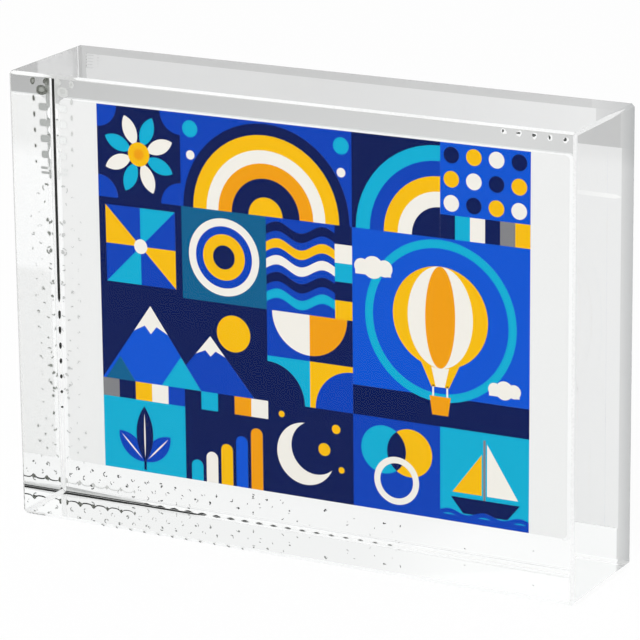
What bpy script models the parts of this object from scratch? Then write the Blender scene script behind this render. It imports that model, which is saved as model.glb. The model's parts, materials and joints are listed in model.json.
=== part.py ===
"""A clear photo block that stands on one long narrow face, with its picture bonded to the back.

World frame in metres: +X to the right, +Y from front to back, +Z up.
The origin is the middle of the whole object's bottom, so the block stands on z = 0.
"""

import bmesh
import bpy

# Clear block
BLOCK_WIDTH = 0.1000
BLOCK_DEPTH = 0.0220
BLOCK_HEIGHT = 0.0750
EDGE_CHAMFER = 0.0005

# Clear mounting film, which covers the back face up to its chamfers
FILM_THICKNESS = 0.0002
FILM_EDGE_CLEARANCE = 0.0002

# Off-white backing sheet: what stays clear of it on the block's back face
SHEET_MARGIN_LEFT = 0.0013
SHEET_MARGIN_RIGHT = 0.0073
SHEET_MARGIN_TOP = 0.0073
SHEET_MARGIN_BOTTOM = 0.0057
SHEET_CORNER_RADIUS = 0.0008
SHEET_THICKNESS = 0.0004

# Printed picture: as high as the sheet, with a white border left on each side
PRINT_BORDER_LEFT = 0.0070
PRINT_BORDER_RIGHT = 0.0065
PRINT_THICKNESS = 0.0003

# Clearance between each layer and the next
BOND_GAP = 0.0003

CORNER_STEPS = 6

# Places that follow from the sizes above
STACK_DEPTH = FILM_THICKNESS + PRINT_THICKNESS + SHEET_THICKNESS + 3 * BOND_GAP
FRONT_Y = -(BLOCK_DEPTH + STACK_DEPTH) / 2
BACK_FACE_Y = FRONT_Y + BLOCK_DEPTH
FILM_Y = BACK_FACE_Y + BOND_GAP + FILM_THICKNESS / 2
PRINT_Y = FILM_Y + FILM_THICKNESS / 2 + BOND_GAP + PRINT_THICKNESS / 2
SHEET_Y = PRINT_Y + PRINT_THICKNESS / 2 + BOND_GAP + SHEET_THICKNESS / 2

SHEET_LEFT = -BLOCK_WIDTH / 2 + SHEET_MARGIN_LEFT
SHEET_RIGHT = BLOCK_WIDTH / 2 - SHEET_MARGIN_RIGHT
SHEET_BOTTOM = SHEET_MARGIN_BOTTOM
SHEET_TOP = BLOCK_HEIGHT - SHEET_MARGIN_TOP
PRINT_LEFT = SHEET_LEFT + PRINT_BORDER_LEFT
PRINT_RIGHT = SHEET_RIGHT - PRINT_BORDER_RIGHT


def remove_objects():
    """Empty the scene that the script is run in."""
    for scene_object in list(bpy.data.objects):
        bpy.data.objects.remove(scene_object, do_unlink=True)


def material(name, colour, roughness, clear=0.0, refraction=1.45):
    """A Principled material, clear from 0 (solid) to 1 (see-through)."""
    finish = bpy.data.materials.new(name)
    finish.use_nodes = True
    shader = finish.node_tree.nodes["Principled BSDF"]
    shader.inputs["Base Color"].default_value = (*colour, 1.0)
    shader.inputs["Roughness"].default_value = roughness
    shader.inputs["Metallic"].default_value = 0.0
    shader.inputs["Transmission Weight"].default_value = clear
    shader.inputs["IOR"].default_value = refraction
    return finish


def add_piece(name, shape, location, finish):
    """Turn a bmesh shape into a named object at its place."""
    bmesh.ops.recalc_face_normals(shape, faces=shape.faces)
    mesh = bpy.data.meshes.new(name)
    shape.to_mesh(mesh)
    shape.free()
    mesh.materials.append(finish)
    piece = bpy.data.objects.new(name, mesh)
    piece.location = location
    bpy.context.scene.collection.objects.link(piece)
    return piece


def slab(width, depth, height):
    """A box centred on its own origin."""
    shape = bmesh.new()
    bmesh.ops.create_cube(shape, size=1.0)
    bmesh.ops.scale(shape, vec=(width, depth, height), verts=shape.verts)
    return shape


def round_corners(shape, radius):
    """Round the four edges of a slab that run through its depth."""
    through_depth = [
        edge
        for edge in shape.edges
        if abs(edge.verts[0].co.y - edge.verts[1].co.y) > 0
    ]
    bmesh.ops.bevel(
        shape,
        geom=through_depth,
        offset=radius,
        offset_type="OFFSET",
        segments=CORNER_STEPS,
        profile=0.5,
        affect="EDGES",
    )


def crystal_block():
    """The clear block, with a narrow polished chamfer on every edge."""
    clear = material("clear_block", (0.97, 0.98, 0.98), 0.02, clear=1.0, refraction=1.49)
    location = (0.0, FRONT_Y + BLOCK_DEPTH / 2, BLOCK_HEIGHT / 2)
    shape = slab(BLOCK_WIDTH, BLOCK_DEPTH, BLOCK_HEIGHT)
    block = add_piece("crystal_block", shape, location, clear)
    chamfer = block.modifiers.new("edge_chamfer", "BEVEL")
    chamfer.width = EDGE_CHAMFER
    chamfer.segments = 1
    chamfer.limit_method = "NONE"


def adhesive_film():
    """The clear film that bonds the picture to the whole flat back face."""
    clear = material("clear_film", (0.96, 0.97, 0.97), 0.08, clear=1.0, refraction=1.47)
    inset = EDGE_CHAMFER + FILM_EDGE_CLEARANCE
    width = BLOCK_WIDTH - 2 * inset
    height = BLOCK_HEIGHT - 2 * inset
    shape = slab(width, FILM_THICKNESS, height)
    add_piece("adhesive_film", shape, (0.0, FILM_Y, BLOCK_HEIGHT / 2), clear)


def photo_print():
    """The printed picture, as high as the sheet behind it."""
    printed = material("printed_picture", (0.02, 0.07, 0.35), 0.35)
    width = PRINT_RIGHT - PRINT_LEFT
    height = SHEET_TOP - SHEET_BOTTOM
    centre_x = (PRINT_LEFT + PRINT_RIGHT) / 2
    centre_z = (SHEET_BOTTOM + SHEET_TOP) / 2
    shape = slab(width, PRINT_THICKNESS, height)
    add_piece("photo_print", shape, (centre_x, PRINT_Y, centre_z), printed)


def backing_sheet():
    """The off-white sheet behind the print, wider than it, with rounded corners."""
    white = material("white_sheet", (0.86, 0.86, 0.85), 0.5)
    width = SHEET_RIGHT - SHEET_LEFT
    height = SHEET_TOP - SHEET_BOTTOM
    centre_x = (SHEET_LEFT + SHEET_RIGHT) / 2
    centre_z = (SHEET_BOTTOM + SHEET_TOP) / 2
    shape = slab(width, SHEET_THICKNESS, height)
    round_corners(shape, SHEET_CORNER_RADIUS)
    add_piece("backing_sheet", shape, (centre_x, SHEET_Y, centre_z), white)


def main():
    remove_objects()
    crystal_block()
    adhesive_film()
    photo_print()
    backing_sheet()


if __name__ == "__main__":
    main()
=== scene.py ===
"""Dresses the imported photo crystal: a clear chamfered block with a picture bonded to its back face."""

import json
import math
import random

import bmesh
import bpy
from bpy.props import FloatProperty, FloatVectorProperty, IntProperty, PointerProperty
from mathutils import Matrix, Vector

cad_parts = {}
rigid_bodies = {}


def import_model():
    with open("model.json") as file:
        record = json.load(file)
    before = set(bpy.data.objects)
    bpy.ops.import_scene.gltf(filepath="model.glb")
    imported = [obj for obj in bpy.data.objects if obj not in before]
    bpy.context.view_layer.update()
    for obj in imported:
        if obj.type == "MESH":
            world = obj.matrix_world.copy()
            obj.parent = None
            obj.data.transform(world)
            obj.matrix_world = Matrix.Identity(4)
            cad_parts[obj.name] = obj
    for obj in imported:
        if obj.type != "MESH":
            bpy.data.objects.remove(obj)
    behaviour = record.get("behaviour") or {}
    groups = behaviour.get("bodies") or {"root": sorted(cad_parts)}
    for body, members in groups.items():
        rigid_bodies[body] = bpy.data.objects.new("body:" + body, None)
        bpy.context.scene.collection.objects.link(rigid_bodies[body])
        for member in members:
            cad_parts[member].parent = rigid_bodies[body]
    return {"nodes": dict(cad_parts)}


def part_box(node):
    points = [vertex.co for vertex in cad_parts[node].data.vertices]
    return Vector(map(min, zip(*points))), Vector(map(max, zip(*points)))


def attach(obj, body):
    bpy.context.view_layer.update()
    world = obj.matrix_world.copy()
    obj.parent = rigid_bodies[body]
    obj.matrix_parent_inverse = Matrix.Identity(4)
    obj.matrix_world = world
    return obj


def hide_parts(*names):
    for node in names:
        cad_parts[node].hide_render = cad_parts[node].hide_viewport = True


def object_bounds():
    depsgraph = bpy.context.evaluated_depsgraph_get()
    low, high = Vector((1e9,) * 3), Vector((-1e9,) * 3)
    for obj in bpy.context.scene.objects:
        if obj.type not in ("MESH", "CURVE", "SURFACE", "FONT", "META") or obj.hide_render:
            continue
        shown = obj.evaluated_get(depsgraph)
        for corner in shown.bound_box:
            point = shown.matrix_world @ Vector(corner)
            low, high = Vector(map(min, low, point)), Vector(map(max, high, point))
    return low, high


bl_info = {
    "name": "Photo crystal",
    "version": (1, 0, 0),
    "blender": (4, 5, 0),
    "location": "3D View > Sidebar > Photo crystal",
    "description": "Finishes for a clear block with a picture bonded to its back",
    "category": "Object",
}

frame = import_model()

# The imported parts, in metres: +X right, +Y to the back, +Z up
CAD_LOW, CAD_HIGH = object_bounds()
BLOCK_LOW, BLOCK_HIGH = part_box("crystal_block")
FILM_LOW, FILM_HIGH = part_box("adhesive_film")
PRINT_LOW, PRINT_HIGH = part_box("photo_print")
SHEET_LOW, SHEET_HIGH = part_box("backing_sheet")
BACK_FACE = BLOCK_HIGH.y
WIDTH, DEPTH, HEIGHT = BLOCK_HIGH - BLOCK_LOW
# The sheet's outline, measured from the block's lower left corner
SHEET_LEFT, SHEET_RIGHT = SHEET_LOW.x - BLOCK_LOW.x, SHEET_HIGH.x - BLOCK_LOW.x
SHEET_BOTTOM, SHEET_TOP = SHEET_LOW.z - BLOCK_LOW.z, SHEET_HIGH.z - BLOCK_LOW.z
# The picture stops this far inside the print's edge, so that none of its sides lies in the sheet's sides
PRINT_INSET = 0.00004
PRINT_WIDTH = PRINT_HIGH.x - PRINT_LOW.x - 2 * PRINT_INSET
PRINT_HEIGHT = PRINT_HIGH.z - PRINT_LOW.z - 2 * PRINT_INSET

BODY = "root"

# Depth and thickness of the panes of painted sheen and shade inside the back face
SHEEN_PANE_DEPTH = 0.00020
SHEEN_PANE_THICKNESS = 0.00001
# How far the front of a bonded surface sits inside the clear block, so that no air lies between them
BOND_DEPTH = 0.00003
# Thickness of one coat of ink
INK_COAT = 0.000006
# Depth and thickness of the trapped air's flat outlines inside the back face
AIR_DEPTH = 0.00010
AIR_THICKNESS = 0.00002
# Depth and thickness of what shows inside a chamfered edge
EDGE_DEPTH = 0.000014
EDGE_THICKNESS = 0.000010
# Air between the block and the floor
FLOOR_GAP = 0.00008
# Where the film's edge starts, measured from the block's left side: just past the chamfer
FLAT_START = 0.00052
# Thin surfaces change their painted sheen and shade between these two slants: seen straight up to the
# first, steep from the second
SLANT_STARTS = 0.27
SLANT_ENDS = 0.31

BLACK = (0.0, 0.0, 0.0)
WHITE = (1.0, 1.0, 1.0)


def screen(red, green, blue):
    """A colour written as screen values from 0 to 255, as linear light."""
    channels = []
    for value in (red, green, blue):
        share = value / 255
        if share <= 0.04045:
            channels.append(share / 12.92)
        else:
            channels.append(((share + 0.055) / 1.055) ** 2.4)
    return tuple(channels)


# What settings of one kind have in common
COLOUR = {"subtype": "COLOR", "size": 3, "min": 0.0, "max": 1.0}
LENGTH = {"subtype": "DISTANCE", "unit": "LENGTH"}
ANGLE = {"subtype": "ANGLE", "unit": "ROTATION"}


class BlockFinish(bpy.types.PropertyGroup):
    refraction: FloatProperty(
        name="Refraction", description="Refractive index of the clear block", default=1.49, min=1.3, max=1.8
    )
    tint: FloatVectorProperty(
        name="Tint",
        description="Colour of light that has passed a polished face",
        default=(0.995, 1.0, 0.998),
        **COLOUR,
    )
    smear: FloatProperty(
        name="Smear",
        description="Roughness of the faint wipe marks on the polished faces",
        default=0.035,
        min=0.0,
        max=0.2,
    )


class SheetFinish(bpy.types.PropertyGroup):
    paper: FloatVectorProperty(
        name="Paper",
        description="Colour of the off-white sheet behind the picture",
        default=(0.86, 0.86, 0.855),
        **COLOUR,
    )
    # Painted sheen: the sheet and the picture take this colour where they are seen at a steep slant
    painted_at_slant: FloatVectorProperty(
        name="Paper at a slant",
        description="Colour of the sheet and the picture where they are seen at a steep slant",
        default=(0.815, 0.815, 0.815),
        **COLOUR,
    )
    corner_radius: FloatProperty(
        name="Corner radius",
        description="Radius of the sheet's four corners",
        default=0.0008,
        min=0.0,
        max=0.01,
        **LENGTH,
    )


class PictureInks(bpy.types.PropertyGroup):
    navy: FloatVectorProperty(
        name="Navy", description="Darkest blue ink", default=screen(11, 27, 84), **COLOUR
    )
    royal: FloatVectorProperty(
        name="Royal", description="Main blue ink", default=screen(12, 66, 182), **COLOUR
    )
    bright: FloatVectorProperty(
        name="Bright", description="Lighter blue ink", default=screen(13, 84, 208), **COLOUR
    )
    teal: FloatVectorProperty(
        name="Teal", description="Blue-green ink", default=screen(14, 95, 140), **COLOUR
    )
    cyan: FloatVectorProperty(
        name="Cyan", description="Light cyan ink", default=screen(14, 172, 210), **COLOUR
    )
    yellow: FloatVectorProperty(
        name="Yellow", description="Warm yellow ink", default=screen(246, 188, 14), **COLOUR
    )
    orange: FloatVectorProperty(
        name="Orange", description="Orange ink", default=screen(240, 158, 16), **COLOUR
    )
    cream: FloatVectorProperty(
        name="Cream", description="Off-white ink", default=screen(242, 238, 230), **COLOUR
    )
    grey: FloatVectorProperty(
        name="Grey", description="Mid grey ink", default=screen(130, 130, 133), **COLOUR
    )


# The inks' names, in the order of the printed piece's materials
INKS = tuple(PictureInks.__annotations__)


class AirPocketPattern(bpy.types.PropertyGroup):
    pitch: FloatProperty(
        name="Pitch",
        description="Distance from one pocket to the next in its row",
        default=0.00267,
        min=0.001,
        max=0.01,
        **LENGTH,
    )
    turn: FloatProperty(
        name="Turn",
        description="How far the film's rows are turned from the block's edges",
        default=math.radians(-2.1),
        **ANGLE,
    )
    first_across: FloatProperty(
        name="First pocket across",
        description="From the block's left side to one pocket of the lowest full row",
        default=0.0110,
        **LENGTH,
    )
    first_up: FloatProperty(
        name="First pocket up",
        description="From the block's bottom to that same pocket",
        default=0.00405,
        **LENGTH,
    )
    radius: FloatProperty(
        name="Radius",
        description="Radius of a full pocket",
        default=0.00038,
        min=0.0001,
        max=0.001,
        **LENGTH,
    )
    fade: FloatProperty(
        name="Fade",
        description="How far from the left side the bottom rows have nearly faded out",
        default=0.085,
        min=0.01,
        max=1.0,
        **LENGTH,
    )
    seed: IntProperty(name="Seed", description="Picks the pockets' uneven shapes", default=7, min=0)


class EdgeFinish(bpy.types.PropertyGroup):
    width: FloatProperty(
        name="Chamfer",
        description="What the chamfer takes off each face",
        default=0.0005,
        min=0.0001,
        max=0.003,
        **LENGTH,
    )
    # Painted highlight: what the front chamfers show
    painted_highlight: FloatVectorProperty(
        name="Bright edge",
        description="Colour of the satin front edges",
        default=(0.93, 0.93, 0.93),
        **COLOUR,
    )
    # Painted shade: what the two back chamfers show
    shade: FloatVectorProperty(
        name="Dark edge",
        description="Colour of the two back edges as they show through the front",
        default=(0.028, 0.029, 0.028),
        **COLOUR,
    )
    upright_end: FloatProperty(
        name="Upright line's end",
        description="Height down to which the dark line at the left is unbroken",
        default=0.0330,
        **LENGTH,
    )
    level_end: FloatProperty(
        name="Level line's end",
        description="How far from the left side the dark line at the bottom is unbroken",
        default=0.0275,
        **LENGTH,
    )


class StudioSetup(bpy.types.PropertyGroup):
    azimuth: FloatProperty(
        name="Azimuth",
        description="How far the camera stands to the right of the block's front",
        default=math.radians(28.36),
        **ANGLE,
    )
    elevation: FloatProperty(
        name="Elevation", description="How far the camera looks down", default=math.radians(16.19), **ANGLE
    )
    roll: FloatProperty(
        name="Roll", description="How far the camera leans", default=math.radians(-0.65), **ANGLE
    )
    distance: FloatProperty(
        name="Distance", description="From the camera to its target", default=0.6096, min=0.1, **LENGTH
    )
    target_right: FloatProperty(
        name="Target to the right",
        description="From the block's left side to the point that the camera looks at",
        default=0.05636,
        **LENGTH,
    )
    target_up: FloatProperty(
        name="Target height",
        description="From the floor to the point that the camera looks at",
        default=0.04052,
        **LENGTH,
    )
    lens: FloatProperty(name="Lens", description="Focal length in millimetres", default=219.6, min=10.0)
    soft_light: FloatProperty(
        name="Soft light",
        description="Brightness of the light that comes from all round",
        default=0.82,
        min=0.0,
        max=2.0,
    )
    key_power: FloatProperty(
        name="Key light", description="Power of the large soft lamp", unit="POWER", default=1.55, min=0.0
    )
    fill_power: FloatProperty(
        name="Fill light", description="Power of the second soft lamp", unit="POWER", default=0.72, min=0.0
    )
    wall_left: FloatVectorProperty(
        name="Wall at the left",
        description="Colour of the studio's darker wall behind the block on the left, as gloss shows it",
        default=(0.33, 0.33, 0.33),
        **COLOUR,
    )
    floor_near: FloatVectorProperty(
        name="Floor near",
        description="Colour of the floor around the block",
        default=(1.0, 1.0, 1.0),
        **COLOUR,
    )
    # Painted shadow: the block's contact shadow on the floor, hidden from the camera's direct view
    floor_painted_shadow: FloatVectorProperty(
        name="Floor near, left",
        description="Colour of the floor close behind the block's left half, as the clear block shows it",
        default=(0.945, 0.945, 0.945),
        **COLOUR,
    )
    # Painted shade: the floor behind the block, darker off to either side, hidden from the camera's direct
    # view
    floor_side_painted_shade: FloatVectorProperty(
        name="Floor behind, sides",
        description="Colour of the floor behind the block, well off to either side",
        default=(0.42, 0.42, 0.42),
        **COLOUR,
    )
    # Painted shade: the floor well behind the block, hidden from the camera's direct view
    floor_far_painted_shade: FloatVectorProperty(
        name="Floor behind",
        description="Colour of the floor well behind the block",
        default=(0.69, 0.69, 0.69),
        **COLOUR,
    )


# Node helpers


def new_material(name):
    """An empty material, its node tree and its output."""
    finish = bpy.data.materials.new(name)
    finish.use_nodes = True
    tree = finish.node_tree
    tree.nodes.clear()
    output = tree.nodes.new("ShaderNodeOutputMaterial")
    return finish, tree, output


def feed(tree, value, socket):
    """Links a socket to another one, or sets it to a number or a plain colour."""
    if isinstance(value, bpy.types.NodeSocket):
        tree.links.new(value, socket)
    elif isinstance(value, (int, float)):
        socket.default_value = value
    else:
        socket.default_value = (*value, 1.0)


def math_node(tree, operation, first, second=None, clamp=False):
    """A Math node whose inputs are sockets or numbers."""
    node = tree.nodes.new("ShaderNodeMath")
    node.operation = operation
    node.use_clamp = clamp
    feed(tree, first, node.inputs[0])
    if second is not None:
        feed(tree, second, node.inputs[1])
    return node.outputs[0]


def map_range(tree, value, low, high, to_low=0.0, to_high=1.0, smooth=False):
    """A Map Range node, which clamps its result."""
    node = tree.nodes.new("ShaderNodeMapRange")
    node.interpolation_type = "SMOOTHSTEP" if smooth else "LINEAR"
    tree.links.new(value, node.inputs["Value"])
    node.inputs["From Min"].default_value = low
    node.inputs["From Max"].default_value = high
    node.inputs["To Min"].default_value = to_low
    node.inputs["To Max"].default_value = to_high
    return node.outputs["Result"]


def mix_colour(tree, share, first, second):
    """Blends two colours, each a socket or a plain colour."""
    node = tree.nodes.new("ShaderNodeMix")
    node.data_type = "RGBA"
    # Of the node's sockets, these are the ones for colours
    factor, colour_a, colour_b = node.inputs[0], node.inputs[6], node.inputs[7]
    for value, socket in ((share, factor), (first, colour_a), (second, colour_b)):
        feed(tree, value, socket)
    return node.outputs[2]


def mix_shaders(tree, share, first, second, output):
    """Blends two shaders and puts out the result."""
    mix = tree.nodes.new("ShaderNodeMixShader")
    tree.links.new(share, mix.inputs["Fac"])
    tree.links.new(first.outputs[0], mix.inputs[1])
    tree.links.new(second.outputs[0], mix.inputs[2])
    tree.links.new(mix.outputs[0], output.inputs["Surface"])


def split_place(tree, kind="Object"):
    """The X, Y and Z of a place on the surface, or with Generated of a direction into the surroundings."""
    split = tree.nodes.new("ShaderNodeSeparateXYZ")
    tree.links.new(tree.nodes.new("ShaderNodeTexCoord").outputs[kind], split.inputs[0])
    return split.outputs


def ray_mask(tree, first, second):
    """1 for two kinds of rays, and 0 for the others."""
    path = tree.nodes.new("ShaderNodeLightPath")
    return math_node(tree, "MAXIMUM", path.outputs[first], path.outputs[second])


def ray_turns(tree, low, high, most=1.0):
    """0 for light that has met up to low surfaces on its way, and most from high surfaces on."""
    met = tree.nodes.new("ShaderNodeLightPath").outputs["Ray Depth"]
    return map_range(tree, met, low, high, 0.0, most)


def steepness(tree, low=SLANT_STARTS, high=SLANT_ENDS):
    """0 where a surface is seen straight, and 1 where it is seen at a steep slant."""
    slant = tree.nodes.new("ShaderNodeLayerWeight").outputs["Facing"]
    return map_range(tree, slant, low, high)


def group_tree(name, inputs, outputs):
    """An empty shader node group with named sockets, and its two end nodes."""
    tree = bpy.data.node_groups.new(name, "ShaderNodeTree")
    for label, kind, value in inputs:
        made = tree.interface.new_socket(name=label, in_out="INPUT", socket_type=kind)
        made.default_value = value
    for label, kind in outputs:
        tree.interface.new_socket(name=label, in_out="OUTPUT", socket_type=kind)
    start = tree.nodes.new("NodeGroupInput")
    end = tree.nodes.new("NodeGroupOutput")
    return tree, start, end


def place_group(tree, group, **values):
    """Puts a node group into a material with its own values."""
    node = tree.nodes.new("ShaderNodeGroup")
    node.node_tree = group
    for label, value in values.items():
        node.inputs[label.replace("_", " ")].default_value = value
    return node


def noise(tree, vector, scale, detail=2.0, roughness=0.5):
    """A Noise Texture's value over the given coordinates."""
    node = tree.nodes.new("ShaderNodeTexNoise")
    node.inputs["Detail"].default_value = detail
    node.inputs["Roughness"].default_value = roughness
    tree.links.new(vector, node.inputs["Vector"])
    feed(tree, scale, node.inputs["Scale"])
    return node.outputs["Fac"]


def grain_group():
    """Fine uneven grain of a printed or coated surface: a varied colour and a mask."""
    found = bpy.data.node_groups.get("surface_grain")
    if found:
        return found
    tree, start, end = group_tree(
        "surface_grain",
        (
            ("Colour", "NodeSocketColor", (1.0, 1.0, 1.0, 1.0)),
            ("Scale", "NodeSocketFloat", 2500.0),
            ("Strength", "NodeSocketFloat", 0.04),
        ),
        (("Colour", "NodeSocketColor"), ("Mask", "NodeSocketFloat")),
    )
    place = tree.nodes.new("ShaderNodeTexCoord").outputs["Object"]
    fine = math_node(tree, "MULTIPLY", noise(tree, place, start.outputs["Scale"]), 0.6)
    broad = math_node(tree, "MULTIPLY", noise(tree, place, 60.0), 0.4)
    mask = math_node(tree, "ADD", fine, broad)
    swing = math_node(tree, "MULTIPLY", math_node(tree, "SUBTRACT", mask, 0.5), start.outputs["Strength"])
    scaled = tree.nodes.new("ShaderNodeVectorMath")
    scaled.operation = "SCALE"
    tree.links.new(start.outputs["Colour"], scaled.inputs[0])
    tree.links.new(math_node(tree, "ADD", swing, 1.0), scaled.inputs["Scale"])
    tree.links.new(scaled.outputs["Vector"], end.inputs["Colour"])
    tree.links.new(mask, end.inputs["Mask"])
    return tree


def wipe_group():
    """Faint marks left by wiping a polished face: a mask from 0 to 1."""
    found = bpy.data.node_groups.get("wipe_marks")
    if found:
        return found
    tree, start, end = group_tree(
        "wipe_marks",
        (("Scale", "NodeSocketFloat", 45.0),),
        (("Mask", "NodeSocketFloat"),),
    )
    place = tree.nodes.new("ShaderNodeTexCoord").outputs["Object"]
    stretch = tree.nodes.new("ShaderNodeMapping")
    stretch.inputs["Rotation"].default_value = (0.0, math.radians(35.0), math.radians(12.0))
    stretch.inputs["Scale"].default_value = (0.25, 1.0, 1.6)
    tree.links.new(place, stretch.inputs["Vector"])
    marks = noise(tree, stretch.outputs["Vector"], start.outputs["Scale"], detail=5.0, roughness=0.6)
    tree.links.new(map_range(tree, marks, 0.45, 0.75, smooth=True), end.inputs["Mask"])
    return tree


def matt_shader(tree, output, grain, colour, low, high):
    """A Principled shader without gloss, whose roughness goes from low to high with the grain."""
    shader = tree.nodes.new("ShaderNodeBsdfPrincipled")
    shader.inputs["Specular IOR Level"].default_value = 0.0
    tree.links.new(colour, shader.inputs["Base Color"])
    rough = map_range(tree, grain.outputs["Mask"], 0.3, 0.7, low, high)
    tree.links.new(rough, shader.inputs["Roughness"])
    tree.links.new(shader.outputs[0], output.inputs["Surface"])
    return shader


# Shape helpers


def add_object(name, data):
    """A new object in the scene."""
    added = bpy.data.objects.new(name, data)
    bpy.context.scene.collection.objects.link(added)
    return added


def add_mesh(name, shape, materials):
    """Turns a bmesh shape into a new object with its materials."""
    mesh = bpy.data.meshes.new(name)
    shape.to_mesh(mesh)
    shape.free()
    for finish in materials:
        mesh.materials.append(finish)
    return add_object(name, mesh)


def finish_piece(name, shape, materials, replaced=()):
    """Turns a bmesh shape into a named piece that rides on the block."""
    bmesh.ops.recalc_face_normals(shape, faces=shape.faces)
    piece = add_mesh(name, shape, materials)
    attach(piece, BODY)
    if replaced:
        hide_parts(*replaced)


def dress(node, finish):
    """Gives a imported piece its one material, and leaves its shape alone."""
    materials = frame["nodes"][node].data.materials
    materials.clear()
    materials.append(finish)


def on_back_face(across, up, depth):
    """A place in the block: from its left side, from its bottom, and depth in from its back face."""
    return Vector((BLOCK_LOW.x + across, BACK_FACE - depth, BLOCK_LOW.z + up))


def on_edge(axis, first_side, second_side, width):
    """A function from a place on a chamfered edge to space.

    The edge runs along axis, and the sides (-1 or 1) say which one it is. The function takes the distance
    along the edge, a share from 0 to 1 across the chamfer, and the depth into the block.
    """
    first, second = [other for other in range(3) if other != axis]

    def place(along, across, depth):
        point = Vector((0, 0, 0))
        point[axis] = BLOCK_LOW[axis] + along
        sunk = depth / math.sqrt(2)
        for other, side, share in ((first, first_side, across), (second, second_side, 1 - across)):
            corner = BLOCK_HIGH[other] if side > 0 else BLOCK_LOW[other]
            point[other] = corner - side * (width * share + sunk)
        return point

    return place


def add_slab(shape, outline, place, depth, thickness, front=0, back=None, rim=None):
    """Adds a thin closed slab to shape: outline is a list of flat places, and place takes them to space.

    front, back and rim are the numbers of its materials. The back and the rim are like the front by default.
    """
    near = [shape.verts.new(place(u, v, depth)) for u, v in outline]
    far = [shape.verts.new(place(u, v, depth - thickness)) for u, v in outline]
    count = len(outline)
    shape.faces.new(near).material_index = front
    shape.faces.new(far[::-1]).material_index = front if back is None else back
    for index in range(count):
        after = (index + 1) % count
        side = shape.faces.new((near[after], near[index], far[index], far[after]))
        side.material_index = front if rim is None else rim


def lay_air(shape, outline, material_index, layer=0):
    """Adds a flat outline of trapped air, a number of layers in front of the lowest one."""
    add_slab(shape, outline, on_back_face, AIR_DEPTH + layer * AIR_THICKNESS, AIR_THICKNESS, material_index)


def lay_on_edge(shape, outline, place, layer=0, front=0, back=None):
    """Adds a thin outline inside a chamfer, a number of layers below the outermost one."""
    add_slab(shape, outline, place, EDGE_DEPTH + layer * EDGE_THICKNESS, EDGE_THICKNESS, front, back)


def arc(centre, radius, start, end, steps):
    """Points along an arc, angles in degrees. radius is one number, or one across and one up."""
    wide, high = radius if isinstance(radius, tuple) else (radius, radius)
    points = []
    for step in range(steps + 1):
        angle = math.radians(start + (end - start) * step / steps)
        points.append((centre[0] + wide * math.cos(angle), centre[1] + high * math.sin(angle)))
    return points


def arc_steps(start, end):
    """One step for each 7.5 degrees of an arc, and at least 6."""
    return max(6, int((end - start) / 7.5))


def rectangle(left, bottom, right, top):
    """A rectangle's outline, counter-clockwise from its lower left corner."""
    return [(left, bottom), (right, bottom), (right, top), (left, top)]


def rounded_rectangle(left, bottom, right, top, radius, steps=8):
    """A rectangle's outline with round corners, counter-clockwise."""
    points = []
    points += arc((right - radius, top - radius), radius, 0, 90, steps)
    points += arc((left + radius, top - radius), radius, 90, 180, steps)
    points += arc((left + radius, bottom + radius), radius, 180, 270, steps)
    points += arc((right - radius, bottom + radius), radius, 270, 360, steps)
    return points


def lens(start, end, low, high, start_taper, end_taper, steps=6):
    """A long band's outline that narrows to a point over each taper."""
    middle, half = (low + high) / 2, (high - low) / 2
    stations = []
    for step in range(1, steps + 1):
        share = math.sin(math.pi / 2 * step / steps)
        stations.append((start + start_taper * step / steps, half * share))
    for step in range(steps, 0, -1):
        share = math.sin(math.pi / 2 * step / steps)
        stations.append((end - end_taper * step / steps, half * share))
    upper = [(along, middle + reach) for along, reach in stations]
    lower = [(along, middle - reach) for along, reach in reversed(stations)]
    return [(start, middle)] + upper + [(end, middle)] + lower


# Clear pieces


def clear_material(name, tint, refraction, smear):
    """Polished clear plastic with faint wipe marks. Light from lamps and from the picture passes straight."""
    finish, tree, output = new_material(name)
    shader = tree.nodes.new("ShaderNodeBsdfPrincipled")
    shader.inputs["Base Color"].default_value = (*tint, 1.0)
    shader.inputs["Transmission Weight"].default_value = 1.0
    shader.inputs["IOR"].default_value = refraction
    shader.inputs["Specular Tint"].default_value = (0.15, 0.15, 0.15, 1.0)
    marks = place_group(tree, wipe_group(), Scale=45.0)
    rough = map_range(tree, marks.outputs["Mask"], 0.0, 1.0, 0.0, smear)
    tree.links.new(rough, shader.inputs["Roughness"])
    straight = tree.nodes.new("ShaderNodeBsdfTransparent")
    straight.inputs["Color"].default_value = (*tint, 1.0)
    mix_shaders(tree, ray_mask(tree, "Is Shadow Ray", "Is Diffuse Ray"), shader, straight, output)
    return finish


class CRYSTAL_OT_block(bpy.types.Operator):
    """Give the chamfered block its clear polished finish"""

    bl_idname = "crystal.block"
    bl_label = "Clear block"

    def execute(self, context):
        finish = context.scene.crystal_block
        clear = clear_material("polished_clear_block", finish.tint, finish.refraction, finish.smear)
        dress("crystal_block", clear)
        return {"FINISHED"}


class CRYSTAL_OT_film(bpy.types.Operator):
    """Give the clear film over the back face its finish"""

    bl_idname = "crystal.film"
    bl_label = "Clear film"

    def execute(self, context):
        finish = context.scene.crystal_block
        film_refraction = 1.47
        dress("adhesive_film", clear_material("clear_film", finish.tint, film_refraction, finish.smear * 2))
        return {"FINISHED"}


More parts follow.
